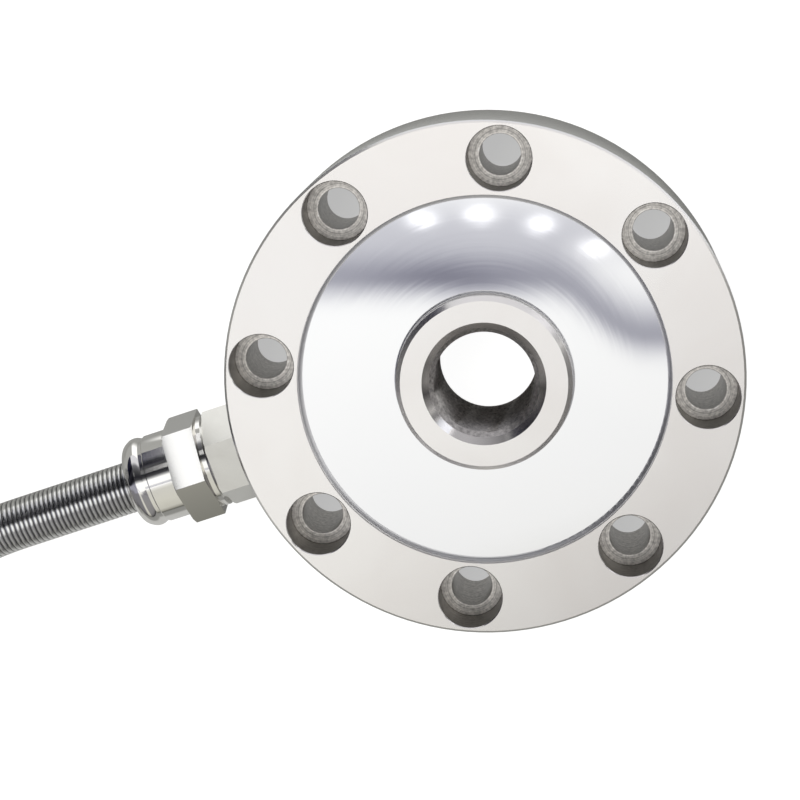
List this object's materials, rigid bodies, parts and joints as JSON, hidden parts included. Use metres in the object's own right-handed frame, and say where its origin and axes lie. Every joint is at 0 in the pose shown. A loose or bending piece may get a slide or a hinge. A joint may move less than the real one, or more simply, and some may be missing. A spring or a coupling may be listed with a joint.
{
  "type": "low profile load cell",
  "caption": "Low profile tension and compression load cell, a steel disc with a threaded hub, bolt holes, and a spring armoured cable from a side gland",
  "frame": {"origin": "on the load axis, in the plane of the ring's base, which is the face it is bolted down on", "axes": "+Z is the load axis, out through the threaded hub; the cable leaves along -X; +Y completes a right-handed frame"},
  "size_m": [0.3343, 0.13, 0.0336],
  "materials": {
    "cell_steel": "fine machined satin, nickel plated",
    "polished_cover": "polished sheet, welded at both edges",
    "satin_fitting": "satin, nickel plated",
    "plated_fitting": "bright nickel plate",
    "armour_steel": "close wound flat wire",
    "cable_jacket": "matt black sheath",
    "core_red": "core insulation",
    "core_black": "core insulation",
    "core_green": "core insulation",
    "core_white": "core insulation",
    "tinned_copper": "tinned stranded copper",
    "seal_rubber": "moulded nitrile rubber",
    "board_laminate": "glass laminate with solder mask",
    "resistor_ceramic": "moulded chip resistor",
    "gauge_foil": "polyimide backed foil gauge",
    "lead_sleeve": "sleeved gauge lead",
    "pad_tape": "foam mounting tape"
  },
  "bodies": {
    "root": {"base_cover": "polished_cover", "board_pad_1": "pad_tape", "board_pad_2": "pad_tape", "board_pad_3": "pad_tape", "board_pad_4": "pad_tape", "body": "cell_steel", "cable_adapter": "satin_fitting", "cable_grommet": "seal_rubber", "cable_inlet": "cable_jacket", "cable_tail": "cable_jacket", "clamping_sleeve": "plated_fitting", "conduit_coil": "armour_steel", "conduit_lead": "armour_steel", "conduit_tail": "armour_steel", "core_black": "core_black", "core_green": "core_green", "core_red": "core_red", "core_white": "core_white", "coupling_nut": "plated_fitting", "drain_wire": "tinned_copper", "end_ferrule": "plated_fitting", "gauge_lead_1": "lead_sleeve", "gauge_lead_2": "lead_sleeve", "gauge_lead_3": "lead_sleeve", "gauge_lead_4": "lead_sleeve", "gauge_lead_5": "lead_sleeve", "gauge_lead_6": "lead_sleeve", "gauge_lead_7": "lead_sleeve", "gauge_lead_8": "lead_sleeve", "hose_collar": "plated_fitting", "inlet_core_1": "core_red", "inlet_core_2": "core_black", "inlet_core_3": "core_green", "inlet_core_4": "core_white", "port_seal": "seal_rubber", "sealing_washer": "plated_fitting", "strain_gauge_1": "gauge_foil", "strain_gauge_2": "gauge_foil", "strain_gauge_3": "gauge_foil", "strain_gauge_4": "gauge_foil", "strain_gauge_5": "gauge_foil", "strain_gauge_6": "gauge_foil", "strain_gauge_7": "gauge_foil", "strain_gauge_8": "gauge_foil", "terminal_board": "board_laminate", "top_cover": "polished_cover", "trim_resistor_1": "resistor_ceramic", "trim_resistor_2": "resistor_ceramic", "trim_resistor_3": "resistor_ceramic", "trim_resistor_4": "resistor_ceramic"}
  },
  "joints": []
}
